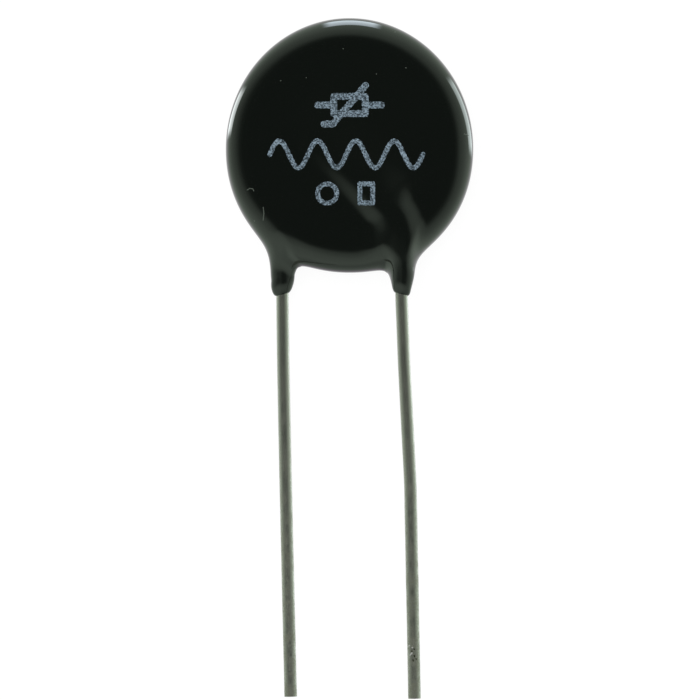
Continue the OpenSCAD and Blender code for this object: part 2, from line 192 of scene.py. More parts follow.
def leg_depth(side, x, y, soft=0.0):
    """How deep a point of the plan lies inside a leg, where soft rounds off the fall from its middle line."""
    s = above_end(side, x, y)
    off = np.hypot(x - leg_x(side, y), soft) - soft
    return leg_half(s, END_SWELL[side]) - off - np.maximum(-s, 0) - np.maximum(y + COAT_R / 2, 0)


print("Width of a leg at the top of its taper, in mm:", 2 * leg_half(LEG_TAPER, 0).round(3))

# %% Outline of the whole coat
# Softness of the webs on a leg's inner and outer side
INNER_WEB, OUTER_WEB = 0.37, 0.45


def mix(a, b, t):
    return a + (b - a) * t


def disc_depth(x, y):
    """How deep a point of the plan lies inside the disc's outline."""
    e = np.where(y > 0, 2, LOWER_SQUARE)
    h = np.where(y > 0, COAT_TOP, COAT_R)
    return COAT_R * (1 - ((np.abs(x) / COAT_R) ** e + (np.abs(y) / h) ** e) ** (1 / e))


def depth(x, y):
    """How deep a point of the plan lies inside the whole outline."""
    joined = disc_depth(x, y)
    for side in (FRONT, REAR):
        web = mix(INNER_WEB, OUTER_WEB, smooth(side * (x - leg_x(side, y)) / (2 * WIRE_R) + 0.5))
        leg = leg_depth(side, x, y)
        most = np.maximum(joined, leg)
        joined = most + web * np.log(np.exp((joined - most) / web) + np.exp((leg - most) / web))
    return joined


print("Depth in the middle of the disc, in mm:", depth(0.0, 0.0).round(3))


# %% Distance from a wire's path
def off_stretch(x, y, a, b):
    """Distance from the straight stretch between a and b."""
    u = unit(b - a)
    t = np.clip((x - a[0]) * u[0] + (y - a[1]) * u[1], 0, np.linalg.norm(b - a))
    return np.hypot(x - a[0] - t * u[0], y - a[1] - t * u[1])


def off_path(side, x, y):
    """Distance from the wire's path above its exit: a straight stretch, the bend and another stretch."""
    inner, bend = wire_corners(side)[:2]
    out = np.array([EXIT_X[side], EXIT_Y])
    u, v = unit(bend - out), unit(inner - bend)
    turn = math.atan2(u[0] * v[1] - u[1] * v[0], u @ v)
    trim = BEND_RADII[0] * math.tan(abs(turn) / 2)
    normal = math.copysign(1, turn) * np.array([-u[1], u[0]])
    centre = bend - trim * u + BEND_RADII[0] * normal
    qx, qy = x - centre[0], y - centre[1]
    past_first, before_second = qx * u[0] + qy * u[1] > 0, qx * v[0] + qy * v[1] < 0
    on_bend = past_first & before_second & (qx * normal[0] + qy * normal[1] < 0)
    straight = np.minimum(off_stretch(x, y, out, bend - trim * u), off_stretch(x, y, bend + trim * v, inner))
    return np.where(on_bend, np.abs(np.hypot(qx, qy) - BEND_RADII[0]), straight)


print("From the disc's axis to the front wire's path, in mm:", round(float(off_path(FRONT, 0.0, 0.0)), 2))

# %% Ridge over a wire
# Height of the knee over the wire's bend and of the ridge, and how far up the wire each of them fades out
KNEE_H, RIDGE_H = 0.2, 0.52
KNEE_LEN, RIDGE_LEN, BEND_SOFT = 3, 9.5, 0.6
CREST_Z = FACE_Z + KNEE_H + RIDGE_H
# At a leg's end the crest lies a lip over the wire, rounds up over a short length, and then climbs by a power
END_LIP, END_ROUND, END_LEN, CREST_POWER = 0.02, 0.17, 0.7, 7
# Half widths of the crest, of the steep flanks' foot and of the gentle flanks' foot
INSIDE, OUTSIDE = (0.1, 1.72, 2.8), (0.35, 1.9, 3.2)
# Distances along the wire, from its bend, at which a flank is still gentle and at which it is steep
STEEP_INSIDE, STEEP_OUTSIDE = (-0.6, 1.4), (1.75, 0.25)


def leg_height(s):
    """Height of a leg's crest over its wire's middle, at a distance s above the leg's end."""
    t = np.clip(s / RISE, 0, 1)
    low = WIRE_R + END_LIP + END_ROUND
    rise = (CREST_POWER * t - t ** CREST_POWER) / (CREST_POWER - 1)
    return low - END_ROUND * (1 - smooth(s / END_LEN)) + (CREST_Z - WIRE_Z - low) * rise


def ridge(side, x, y):
    """Height of the ridge over the flat face."""
    inner, bend = wire_corners(side)[:2]
    u = unit(inner - bend)
    qx, qy = x - bend[0], y - bend[1]
    along = qx * u[0] + qy * u[1]
    inside = np.maximum(side * (x - leg_x(side, y)), side * (qx * u[1] - qy * u[0])) < 0
    crest_w, steep_w, gentle_w = (np.where(inside, a, b) for a, b in zip(INSIDE, OUTSIDE))
    still_gentle, steep_from = (np.where(inside, a, b) for a, b in zip(STEEP_INSIDE, STEEP_OUTSIDE))
    steepness = smooth((along - still_gentle) / (steep_from - still_gentle))
    up = (along + np.hypot(along, BEND_SOFT)) / 2
    crest = KNEE_H * (1 - smooth(up / KNEE_LEN)) + RIDGE_H * np.maximum(1 - (up / RIDGE_LEN) ** 2, 0)
    fall = CREST_Z - WIRE_Z - leg_height(y - EXIT_Y)
    across = off_path(side, x, y)
    gentle = 1 - smooth((across - crest_w) / (gentle_w - crest_w))
    steep = 1 - smooth((across - crest_w) / (steep_w - crest_w))
    return (crest - fall) * mix(gentle, steep, steepness)


print("Height of the ridge's crest over the face, in mm:", KNEE_H + RIDGE_H)

# %% Height over the disc's middle plane
# A leg begins where it lies this much less deep than the disc, and is whole where it lies this much deeper
LEG_BEGINS, LEG_WHOLE, LEG_SOFT = 0.4, 1.65, 0.35
# Distances from a leg's middle, and places down the disc, between which the crest fades into the rim
NEAR_FROM, NEAR_TO = 0.3, 1.3
NEAR_STARTS, NEAR_WHOLE = -3, -4.5
# Places down the disc between which the rim widens
LOW_STARTS, LOW_WHOLE = -2, -7


def leg_share(side, x, y):
    """How much of a point belongs to a leg: 0 on the disc and 1 down the leg."""
    lead = leg_depth(side, x, y, LEG_SOFT) - disc_depth(x, y)
    return smooth((lead + LEG_BEGINS) / (LEG_BEGINS + LEG_WHOLE))


def near_leg(side, x, y):
    """How near a point is to a leg's middle, where the crest carries on over the rim."""
    beside = smooth((NEAR_TO - np.abs(x - leg_x(side, y))) / (NEAR_TO - NEAR_FROM))
    return beside * smooth((NEAR_STARTS - y) / (NEAR_STARTS - NEAR_WHOLE))


def coat_z(face, x, y):
    """Height of the front or rear surface of the coat."""
    front, rear = leg_share(FRONT, x, y), leg_share(REAR, x, y)
    share = np.maximum(front, rear)
    s = np.where(front > rear, above_end(FRONT, x, y), above_end(REAR, x, y))
    rim_w = RIM_W + RIM_LOW * smooth((LOW_STARTS - y) / (LOW_STARTS - LOW_WHOLE))
    rim_w = mix(rim_w, leg_half(above_end(face, x, y), END_SWELL[face]), near_leg(face, x, y))
    swell = np.where(front > rear, END_SWELL[FRONT], END_SWELL[REAR])
    t = np.clip(depth(x, y) / mix(rim_w, leg_half(s, swell), share), 0, 1)
    height = mix(FACE_Z + ridge(face, x, y), leg_height(s), share)
    return WIRE_Z * (front - rear) + face * np.sqrt(1 - (1 - t) ** 2) * height


print("Height of the crest at the bend, in mm:", coat_z(FRONT, *wire_corners(FRONT)[1]).round(3))

# %% [markdown]
# ## The coat's mesh
# A remesh of a rough model would be quick to write, but it would step across the thin legs. Here the points
# follow the shape. The outline is found by halving: a line from a point inside to a point outside is cut in
# two until the crossing is known to a millionth of a millimetre. Rings run from that outline to the middle of
# the disc, and rows of points run down each leg. The rings crowd together at the rim, because the surface
# turns fastest there, and light on a glossy edge shows every corner.

# %% Points of the plan
# Cells across a leg, along the free outline and along the edge between the legs
LEG_CELLS, FREE_CELLS, BOTTOM_CELLS = 24, 200, 36
# How far above the foot of the disc the legs' roots lie, on their outer and inner sides
ROOT_OUTER, ROOT_INNER = 1.7, {FRONT: -0.04, REAR: 0.4}
# Rows that swing to the slant of a leg's end, rows that step down to it, and how they crowd together
SWING_ROWS, SWING_POWER = 14, 1.4
STEP_ROWS, STEP_POWER, STEP_FROM = 14, 1.7, 0.85


def edge(a, b, halvings=30):
    """Where the outline crosses each line from a, inside it, to b, outside it."""
    a, b = np.broadcast_arrays(np.asarray(a, float), np.asarray(b, float))
    for _ in range(halvings):
        m = (a + b) / 2
        inside = (depth(m[..., 0], m[..., 1]) > 0)[..., None]
        a, b = np.where(inside, m, a), np.where(inside, b, m)
    return (a + b) / 2


def leg_row(side, row):
    """A row of points across a leg. The first rows swing to the slant of its end, and the rest step down."""
    t = 1 - (1 - min(row / SWING_ROWS, 1)) ** SWING_POWER
    end_y = EXIT_Y + STEP_FROM * (1 - max(row - SWING_ROWS, 0) / STEP_ROWS) ** STEP_POWER
    ends = []
    for out, root, reach in ((-1, ROOT_INNER[side], WIRE_R + 1), (1, ROOT_OUTER, COAT_R)):
        y = mix(-COAT_R + root, end_y, t)
        a = np.array([leg_x(side, y), y])
        ends.append(edge(a, a + reach * out * np.array([side, -t * LEG_SLANT])))
    left, right = sorted(ends, key=lambda p: p[0])
    share = (1 - np.cos(np.pi * np.arange(LEG_CELLS + 1) / LEG_CELLS)) / 2
    return left + (right - left) * share[:, None]


def bearing(p):
    """Angle of a point of the plan, in degrees from straight down."""
    return math.degrees(math.atan2(p[0], -p[1]))


def arc_edges(a, b, cells):
    """Points of the outline between two bearings."""
    turn = down(np.linspace(a, b, cells + 1)[1:-1])
    return edge(2 * turn, 2 * COAT_TOP * turn)


print("Half width of the outline level with the middle, in mm:", edge((0, 0), (2 * COAT_R, 0))[0].round(3))

# %% Rings and rows of points
# Rings over the rounded rim and over the flat face
RIM_RINGS, FACE_RINGS = 20, 38
roots = {side: leg_row(side, 0) for side in (FRONT, REAR)}
rim = np.concatenate([
    roots[FRONT],
    arc_edges(bearing(roots[FRONT][-1]), 360 + bearing(roots[REAR][0]), FREE_CELLS),
    roots[REAR],
    arc_edges(bearing(roots[REAR][-1]), bearing(roots[FRONT][0]), BOTTOM_CELLS)])
reach = np.linalg.norm(rim, axis=1)[:, None]
in_turn = 1 - np.cos(np.pi / 2 * np.arange(RIM_RINGS + 1) / RIM_RINGS)
scales = [1 - RIM_W * turned / reach for turned in in_turn]
scales += [scales[-1] * (1 - i / FACE_RINGS) for i in range(1, FACE_RINGS)]
last_row = SWING_ROWS + STEP_ROWS
leg_rows = {side: [leg_row(side, row) for row in range(1, last_row + 1)] for side in (FRONT, REAR)}
plan = np.concatenate([rim * s for s in scales] + leg_rows[FRONT] + leg_rows[REAR] + [[[0, 0]]])
print("Points in the plan:", len(plan))

# %% Faces of the coat
rim_n, ring_n = len(rim), len(scales)
row_n, first_leg, middle = LEG_CELLS + 1, rim_n * ring_n, len(plan) - 1
root_at = {FRONT: 0, REAR: row_n + FREE_CELLS - 1}


def leg_index(side, row, i):
    """Number of a point of a leg's row. Row 0 is part of the outermost ring."""
    if row == 0:
        return root_at[side] + i
    return first_leg + ((0 if side == FRONT else last_row) + row - 1) * row_n + i


upper = []
for j in range(ring_n - 1):
    for k in range(rim_n):
        k2 = (k + 1) % rim_n
        upper.append((j * rim_n + k, j * rim_n + k2, (j + 1) * rim_n + k2, (j + 1) * rim_n + k))
upper += [((ring_n - 1) * rim_n + k, (ring_n - 1) * rim_n + (k + 1) % rim_n, middle) for k in range(rim_n)]
ends = []
for side in (FRONT, REAR):
    for row in range(last_row):
        for i in range(LEG_CELLS):
            upper.append((leg_index(side, row + 1, i), leg_index(side, row + 1, i + 1),
                          leg_index(side, row, i + 1), leg_index(side, row, i)))
    ends += [(leg_index(side, last_row, i), leg_index(side, last_row, i + 1)) for i in range(LEG_CELLS)]
print("Faces of one side of the coat:", len(upper))

# %% Front, rear and ends together
# Points on the outline belong to the front and the rear surface alike
on_outline = np.zeros(len(plan), bool)
on_outline[:rim_n] = True
for side in (FRONT, REAR):
    on_outline[root_at[side] + 1:root_at[side] + LEG_CELLS] = False
    for row in range(1, last_row + 1):
        on_outline[[leg_index(side, row, 0), leg_index(side, row, LEG_CELLS)]] = True
below = np.arange(len(plan))
below[~on_outline] = len(plan) + np.arange((~on_outline).sum())

x, y = plan.T
seam_z = WIRE_Z * (leg_share(FRONT, x, y) - leg_share(REAR, x, y))
front_z = np.where(on_outline, seam_z, coat_z(FRONT, x, y))
rear_z = coat_z(REAR, x, y)[~on_outline]
coat_points = np.concatenate([np.column_stack([x, y, front_z]),
                              np.column_stack([x[~on_outline], y[~on_outline], rear_z])])
lower = [tuple(below[n] for n in reversed(f)) for f in upper]
caps = [(below[a], below[b], b, a) for a, b in ends]
coat_faces = [tuple(dict.fromkeys(int(n) for n in f)) for f in upper + lower + caps]
print("Faces of the coat:", len(coat_faces))

# %% [markdown]
# ## From numbers to an object
# A piece could be moved into place, but a finished piece sits at the origin with its place in its mesh, so
# that its patterns stay where they are drawn. Faces whose shared edge turns sharply, such as the rim of a cut
# end, keep a hard edge, and everything else is shaded smooth.

# %% Make a mesh piece
SHARP = math.radians(50)


def place_piece(name, mesh, material, *stands_for, slot):
    """Shades a mesh and puts it in the frame as a piece."""
    mesh.shade_smooth()
    mesh.set_sharp_from_angle(angle=SHARP)
    mesh.materials.clear()
    mesh.materials.append(material)
    piece = bpy.data.objects.new(name, mesh)
    bpy.context.scene.collection.objects.link(piece)
    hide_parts(*stands_for)
    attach(piece, "root")
    mesh.calc_loop_triangles()
    print(f"{name}: {len(mesh.loop_triangles)} triangles")


def make_piece(name, points, faces, material, *stands_for, slot):
    """Makes a piece from points in millimetres off the disc's middle."""
    mesh = bpy.data.meshes.new(name)
    mesh.from_pydata(((np.asarray(points) + SEAT) * MM).tolist(), [], faces)
    mesh.validate()
    place_piece(name, mesh, material, *stands_for, slot=slot)


# %% [markdown]
# ## Helpers for materials
# Colours are written as the hex values that a screen shows and turned to linear light once. One function
# adds any node: it sets the node's settings, and each input gets either a link or a value. Patterns read the
# object coordinates, which are metres here, so a size in millimetres is turned into a noise's scale.

# %% Colour and node helpers
def linear(hex_colour):
    """A screen's colour as the linear light that shaders reckon with."""
    parts = [int(hex_colour[i:i + 2], 16) / 255 for i in (1, 3, 5)]
    return tuple(c / 12.92 if c <= 0.04045 else ((c + 0.055) / 1.055) ** 2.4 for c in parts) + (1.0,)


def add(tree, kind, inputs=None, **settings):
    """Adds a node, sets its settings, and gives each input a link or a value."""
    node = tree.nodes.new(kind)
    for key, value in settings.items():
        setattr(node, key, value)
    for key, value in (inputs or {}).items():
        if isinstance(value, bpy.types.NodeSocket):
            tree.links.new(value, node.inputs[key])
        else:
            node.inputs[key].default_value = value
    return node


def new_material(name):
    """An empty node tree and the object coordinates that its patterns read."""
    material = bpy.data.materials.new(name)
    material.use_nodes = True
    tree = material.node_tree
    tree.nodes.clear()
    return material, tree, add(tree, "ShaderNodeTexCoord").outputs["Object"]


def finish_material(tree, inputs):
    """Joins the surface's values in one shader, as the material's output."""
    shader = add(tree, "ShaderNodeBsdfPrincipled", inputs)
    add(tree, "ShaderNodeOutputMaterial", {"Surface": shader.outputs["BSDF"]})


def per_mm(size):
    """Scale of a noise whose features are about this many millimetres across."""
    return 1 / (size * MM)


print("Scale of a noise with features a millimetre across:", per_mm(1))


# %% Thin marks on a surface
def plan_mm(tree, place):
    """The object coordinates as millimetres of the plan."""
    to_mm = (1 / MM, 1 / MM, 0)
    return add(tree, "ShaderNodeVectorMath", {0: place, 1: to_mm}, operation="MULTIPLY").outputs[0]


def off_line(tree, place, a, b):
    """Distance, in millimetres, from the line between two points of the plan."""
    start, run = np.array([*a, 0]) + SEAT * (1, 1, 0), np.array([*b, 0]) - np.array([*a, 0])
    gap = add(tree, "ShaderNodeVectorMath", {0: place, 1: tuple(start)}, operation="SUBTRACT").outputs[0]
    per_run = tuple(run / (run @ run))
    share = add(tree, "ShaderNodeVectorMath", {0: gap, 1: per_run}, operation="DOT_PRODUCT").outputs["Value"]
    held = add(tree, "ShaderNodeClamp", {0: share}).outputs[0]
    nearest = add(tree, "ShaderNodeVectorMath", {0: tuple(run), 3: held}, operation="SCALE").outputs[0]
    off = add(tree, "ShaderNodeVectorMath", {0: gap, 1: nearest}, operation="DISTANCE")
    return off.outputs["Value"]


def marks_on(tree, plan, lines, half):
    """1 on each of these lines and 0 off them."""
    nearest = 1.0
    for a, b in lines:
        off = off_line(tree, plan, a, b)
        nearest = add(tree, "ShaderNodeMath", {0: off, 1: nearest}, operation="MINIMUM").outputs[0]
    return add(tree, "ShaderNodeMapRange", {0: nearest, 1: 2 * half, 2: half}).outputs[0]


# %% [markdown]
# ## Black dipped epoxy
# The coat is epoxy filled with carbon black, dipped and cured. It set from a liquid, so it is glossy and
# nearly flawless: the eye sees its reflections, and hardly any colour of its own. A faint, wide swell is left
# from how the wet coat ran. Specks of dust and short fibres set in it, and they show as small pale marks.
# They could be painted on an image. The shader works them out instead, so they stay sharp at any size: a
# mark is a line between two points, and a speck is a very short one.

# %% Dust and fibres in the epoxy
MARK_HALF = 0.018
SPECKS = (((-2.72, 4.41), (-2.71, 4.41)), ((1.68, 4.64), (1.69, 4.65)), ((-0.41, 6.24), (-0.39, 6.22)),
          ((3.52, 5.04), (3.55, 5.02)), ((2.82, 7.32), (2.87, 7.33)), ((-4.33, 4.22), (-4.3, 4.23)),
          ((-5.99, -4.54), (-5.96, -4.56)))
LONG_FIBRE = (((-5.41, -3.72), (-5.37, -4.1)), ((-5.37, -4.1), (-5.42, -4.52)))
CURLED_FIBRE = (((-6.42, -2.63), (-6.28, -2.53)), ((-6.28, -2.53), (-6.06, -2.55)),
                ((-6.06, -2.55), (-6.01, -2.68)))
RIM_FIBRE = (((7.2, 0.9), (7.48, 0.84)),)
FLAWS = SPECKS + LONG_FIBRE + CURLED_FIBRE + RIM_FIBRE
print("Lines that draw the flaws:", len(FLAWS))

# %% Epoxy material
# Width and height, in mm, of the swell that the wet coat left and of the faint grain
RUN_W, RUN_H = 2.2, 0.006
HAZE_W, HAZE_H = 0.12, 0.0004
# Roughness of the bare coat and of a mark
GLOSSY, DUSTY = 0.05, 0.6
EPOXY_IOR = 1.5


def epoxy_material():
    material, tree, place = new_material("dipped_black_epoxy")
    run = add(tree, "ShaderNodeTexNoise", {"Vector": place, "Scale": per_mm(RUN_W), "Detail": 1.0})
    haze = add(tree, "ShaderNodeTexNoise", {"Vector": place, "Scale": per_mm(HAZE_W), "Detail": 2.0})
    swell = add(tree, "ShaderNodeBump", {"Strength": 1.0, "Distance": RUN_H * MM, "Height": run.outputs[0]})
    bump = add(tree, "ShaderNodeBump", {"Strength": 1.0, "Distance": HAZE_H * MM, "Height": haze.outputs[0],
                                        "Normal": swell.outputs[0]})
    mark = marks_on(tree, plan_mm(tree, place), FLAWS, MARK_HALF)
    height = add(tree, "ShaderNodeSeparateXYZ", {0: place}).outputs["Z"]
    front = add(tree, "ShaderNodeMath", {0: height, 1: SEAT[2] * MM}, operation="GREATER_THAN").outputs[0]
    mark = add(tree, "ShaderNodeMath", {0: mark, 1: front}, operation="MULTIPLY").outputs[0]
    black, dusty = linear("#0d100e"), linear("#4c524b")
    colour = add(tree, "ShaderNodeMix", {0: mark, 6: black, 7: dusty}, data_type="RGBA")
    rough = add(tree, "ShaderNodeMapRange", {0: mark, 3: GLOSSY, 4: DUSTY})
    finish_material(tree, {"Base Color": colour.outputs[2], "Roughness": rough.outputs[0], "IOR": EPOXY_IOR,
                           "Normal": bump.outputs[0]})
    return material


make_piece("dipped_coat", coat_points, coat_faces, epoxy_material(), "epoxy_coat", slot="epoxy")

# %% [markdown]
# ## Tinned copper wire
# The wires are copper, drawn through a die and coated with tin. Drawing leaves faint lines along the wire,
# and the tin is soft and a little cloudy, so its reflections are blurred, with duller spots towards the tips,
# where it was handled. Small pits show dark near the front wire's tip. Real nicks there are drawn as pale
# spots that are not metal, so that the lamp lights them: a painted glint. All of it could be modelled, but it
# is so shallow that the material can draw it as well. The real lines and grains are about 0.02 mm wide, too
# fine to show here, so both are drawn about six times as coarse.

# %% Nicks with a painted glint, and pits, in the front wire
# The nicks are real, and their brightness is a painted glint
NICK_GLINT_HALF, PIT_HALF = 0.025, 0.03
NICK_GLINTS = (((3.8, -31.8), (3.92, -31.68)), ((3.93, -31.34), (3.94, -31.33)), ((3.75, -31.22), (3.76, -31.2)))
PITS = (((4.06, -31.84), (4.08, -31.9)), ((3.99, -32.1), (4.01, -32.18)), ((4.06, -31.43), (4.07, -31.44)),
        ((3.89, -31.57), (3.92, -31.56)), ((4.18, -32.04), (4.19, -32.07)))
print("Nicks and pits:", len(NICK_GLINTS), "and", len(PITS))

# %% Wire material
# Width and height, in mm, of the drawn lines and of the tin's grains, and the width of its cloudy patches
DRAWN_W, DRAWN_H, DRAWN_OUT = 0.12, 0.004, (1, 0.03, 1)
GRAIN_W, GRAIN_H, CLOUD_W = 0.13, 0.006, 0.9
# Sum of grain and cloud at which tin is still clean and at which it is dull
CLEAN_AT, DULL_AT = 0.8, 1.2
# Place down the wire from which it was handled most, and the share of that from the model's middle up
HANDLED_MOST, HANDLED_LEAST = TIP_Y * MM / 2, 0.15
# How metallic and how rough clean and dull tin are
METALLIC, ROUGHNESS = (0.93, 0.7), (0.36, 0.56)


def wire_material():
    material, tree, place = new_material("tinned_copper")
    stretched = add(tree, "ShaderNodeMapping", {"Vector": place, "Scale": DRAWN_OUT}).outputs[0]
    drawn = add(tree, "ShaderNodeTexNoise", {"Vector": stretched, "Scale": per_mm(DRAWN_W), "Detail": 3.0})
    cloud = add(tree, "ShaderNodeTexNoise", {"Vector": place, "Scale": per_mm(CLOUD_W), "Detail": 2.0})
    grain = add(tree, "ShaderNodeTexNoise", {"Vector": place, "Scale": per_mm(GRAIN_W), "Detail": 3.0})
    down_wire = add(tree, "ShaderNodeSeparateXYZ", {0: place}).outputs["Y"]
    handled = add(tree, "ShaderNodeMapRange",
                  {0: down_wire, 1: 0.0, 2: HANDLED_MOST, 3: HANDLED_LEAST, 4: 1.0}).outputs[0]
    both = add(tree, "ShaderNodeMath", {0: grain.outputs[0], 1: cloud.outputs[0]}, operation="ADD").outputs[0]
    spots = add(tree, "ShaderNodeMapRange", {0: both, 1: CLEAN_AT, 2: DULL_AT}).outputs[0]
    dull = add(tree, "ShaderNodeMath", {0: spots, 1: handled}, operation="MULTIPLY").outputs[0]
    plan = plan_mm(tree, place)
    nick_glint, pit = marks_on(tree, plan, NICK_GLINTS, NICK_GLINT_HALF), marks_on(tree, plan, PITS, PIT_HALF)
    clean, cloudy = linear("#acaba5"), linear("#8f8f83")
    tin = add(tree, "ShaderNodeMix", {0: dull, 6: clean, 7: cloudy}, data_type="RGBA").outputs[2]
    tin = add(tree, "ShaderNodeMix", {0: pit, 6: tin, 7: linear("#4a4a3c")}, data_type="RGBA").outputs[2]
    # Painted glint: the nicks get a pale colour here, and lose their metal below, so the lamp lights them
    tin = add(tree, "ShaderNodeMix", {0: nick_glint, 6: tin, 7: linear("#a6a8a4")}, data_type="RGBA").outputs[2]
    bare = add(tree, "ShaderNodeMapRange", {0: dull, 3: METALLIC[0], 4: METALLIC[1]}).outputs[0]
    # No metal on the nicks, so that the lamp lights them as a painted glint
    bare = add(tree, "ShaderNodeMath", {0: bare, 1: nick_glint}, operation="SUBTRACT", use_clamp=True).outputs[0]
    rough = add(tree, "ShaderNodeMapRange", {0: dull, 3: ROUGHNESS[0], 4: ROUGHNESS[1]}).outputs[0]
    lines = add(tree, "ShaderNodeBump",
                {"Strength": 1.0, "Distance": DRAWN_H * MM, "Height": drawn.outputs[0]}).outputs[0]
    bump = add(tree, "ShaderNodeBump", {"Strength": 1.0, "Distance": GRAIN_H * MM, "Height": grain.outputs[0],
                                        "Normal": lines}).outputs[0]
    finish_material(tree, {"Base Color": tin, "Metallic": bare, "Roughness": rough, "Normal": bump})
    return material


tinned = wire_material()
print("Nodes in the wire's material:", len(tinned.node_tree.nodes))

# %% [markdown]
# A curve with a round bevel would give a plain wire. The tin is not quite even, though, so a Geometry Nodes
# tree makes it: it spaces the path's points evenly, sweeps a circle along them that swells and shrinks by a
# hundredth of a millimetre, and caps the ends.

# %% Wire tree
# Length of a lump in the tin, in mm, and the noise's values at which it is lowest and highest
LUMP_LEN, LUMP_LOW, LUMP_HIGH = 2.5, 0.3, 0.7


def wire_tree():
    tree = bpy.data.node_groups.new("drawn_wire", "GeometryNodeTree")
    for name, kind in (("Path", "Geometry"), ("Radius", "Float"), ("Spacing", "Float"), ("Swell", "Float"),
                       ("Sides", "Int"), ("Tin", "Material")):
        tree.interface.new_socket(name, in_out="INPUT", socket_type="NodeSocket" + kind)
    tree.interface.new_socket("Wire", in_out="OUTPUT", socket_type="NodeSocketGeometry")
    given = add(tree, "NodeGroupInput").outputs
    even = add(tree, "GeometryNodeResampleCurve",
               {"Curve": given["Path"], "Length": given["Spacing"]}, mode="LENGTH")
    place = add(tree, "GeometryNodeInputPosition")
    lumps = add(tree, "ShaderNodeTexNoise",
                {"Vector": place.outputs[0], "Scale": per_mm(LUMP_LEN), "Detail": 1.0})
    least = add(tree, "ShaderNodeMath", {0: 1.0, 1: given["Swell"]}, operation="SUBTRACT")
    share = add(tree, "ShaderNodeMapRange",
                {0: lumps.outputs[0], 1: LUMP_LOW, 2: LUMP_HIGH, 3: least.outputs[0], 4: 1.0})
    circle = add(tree, "GeometryNodeCurvePrimitiveCircle",
                 {"Resolution": given["Sides"], "Radius": given["Radius"]})
    swept = add(tree, "GeometryNodeCurveToMesh",
                {"Curve": even.outputs[0], "Profile Curve": circle.outputs[0], "Scale": share.outputs[0],
                 "Fill Caps": True})
    whole = add(tree, "GeometryNodeRealizeInstances", {0: swept.outputs[0]})
    coated = add(tree, "GeometryNodeSetMaterial", {"Geometry": whole.outputs[0], "Material": given["Tin"]})
    add(tree, "NodeGroupOutput", {"Wire": coated.outputs[0]})
    return tree


drawn_wire = wire_tree()
print("Nodes in the wire tree:", len(drawn_wire.nodes))

# %% Two wires
# Distance between the wire's rings, in mm, faces round it, and how much of its radius it swells by
RING_STEP, WIRE_SIDES, WIRE_SWELL = 0.2, 40, 0.02


def make_wire(name, side, node):
    """Sweeps one wire along its path and turns it into a plain mesh."""
    curve = bpy.data.curves.new(name + "_path", "CURVE")
    curve.dimensions = "3D"
    path = wire_path(side)
    spline = curve.splines.new("POLY")
    spline.points.add(len(path) - 1)
    for point, (px, py) in zip(spline.points, path):
        point.co = (*((np.array([px, py, side * WIRE_Z]) + SEAT) * MM), 1)
    guide = bpy.data.objects.new(name + "_path", curve)
    bpy.context.scene.collection.objects.link(guide)
    tree = guide.modifiers.new("wire", "NODES")
    tree.node_group = drawn_wire
    sizes = {"Radius": WIRE_R * MM, "Spacing": RING_STEP * MM, "Swell": WIRE_SWELL, "Sides": WIRE_SIDES,
             "Tin": tinned}
    for item in drawn_wire.interface.items_tree:
        if item.name in sizes:
            tree[item.identifier] = sizes[item.name]
    bpy.context.view_layer.update()
    made = bpy.data.meshes.new_from_object(guide.evaluated_get(bpy.context.evaluated_depsgraph_get()))
    bpy.data.objects.remove(guide)
    made.name = name
    place_piece(name, made, tinned, node, slot="tinned_wire")


make_wire("front_wire", FRONT, "front_lead")
make_wire("rear_wire", REAR, "rear_lead")

# %% [markdown]
# ## The printed marks
# The marks are pad printed: a soft pad presses pale ink onto the cured coat, so the ink follows the ridge
# under it, and its edges are a little rough. They are the circuit symbol of a varistor, a wave, a ring and a
# window. They could be drawn in the coat's material, but a thin film of their own can be taken off or
# changed. Each mark is a set of strokes. A fine grid is laid over them, cells inside a stroke are kept, and
# the points at the edge slide onto it.

# %% Strokes of the marks
def box_corners(centre, size, line):
    """Middle line of a box's frame, whose outside has this size."""
    w, h = (size[0] - line) / 2, (size[1] - line) / 2
    turns = ((-1, -1), (1, -1), (1, 1), (-1, 1), (-1, -1))
    return [(centre[0] + sx * w, centre[1] + sy * h) for sx, sy in turns]


# Width of the thin strokes and of the symbol's
LINE = 0.3
SYMBOL, SYMBOL_LINE = np.array([0, 2.7]), 0.42
symbol_strokes = [
    box_corners(SYMBOL, (2.4, 1.5), SYMBOL_LINE),
    [SYMBOL + (-1.2, 0), SYMBOL + (-2.0, 0)],
    [SYMBOL + (1.2, 0), SYMBOL + (2.0, 0)],
    [SYMBOL + (-1.6, -1.2), SYMBOL + (-1.05, -1.2), SYMBOL + (1.0, 1.22)]]
WAVE, WAVE_LEN, WAVE_H, WAVE_PERIODS = (-0.2, -0.4), 9.6, 0.85, 4
wave_t = np.linspace(0, 1, 97)
wave_strokes = [np.column_stack([WAVE[0] + WAVE_LEN * (wave_t - 0.5),
                                 WAVE[1] + WAVE_H * np.sin(2 * np.pi * WAVE_PERIODS * wave_t)])]
RING, RING_R = (-1.4, -2.85), 0.6
ring_t = np.linspace(0, 2 * np.pi, 49)
ring_strokes = [np.column_stack([RING[0] + RING_R * np.cos(ring_t), RING[1] + RING_R * np.sin(ring_t)])]
WINDOW, WINDOW_SIZE = (1.05, -2.85), (1.1, 1.5)
window_strokes = [box_corners(WINDOW, WINDOW_SIZE, LINE)]
marks = ((symbol_strokes, SYMBOL_LINE), (wave_strokes, LINE), (ring_strokes, LINE), (window_strokes, LINE))
print("Marks to print:", len(marks))

# %% Distance into the strokes
# How far the ink's edge wanders, and how many times it does so in a millimetre
ROUGH_EDGE, ROUGH_PER_MM = 0.025, 6


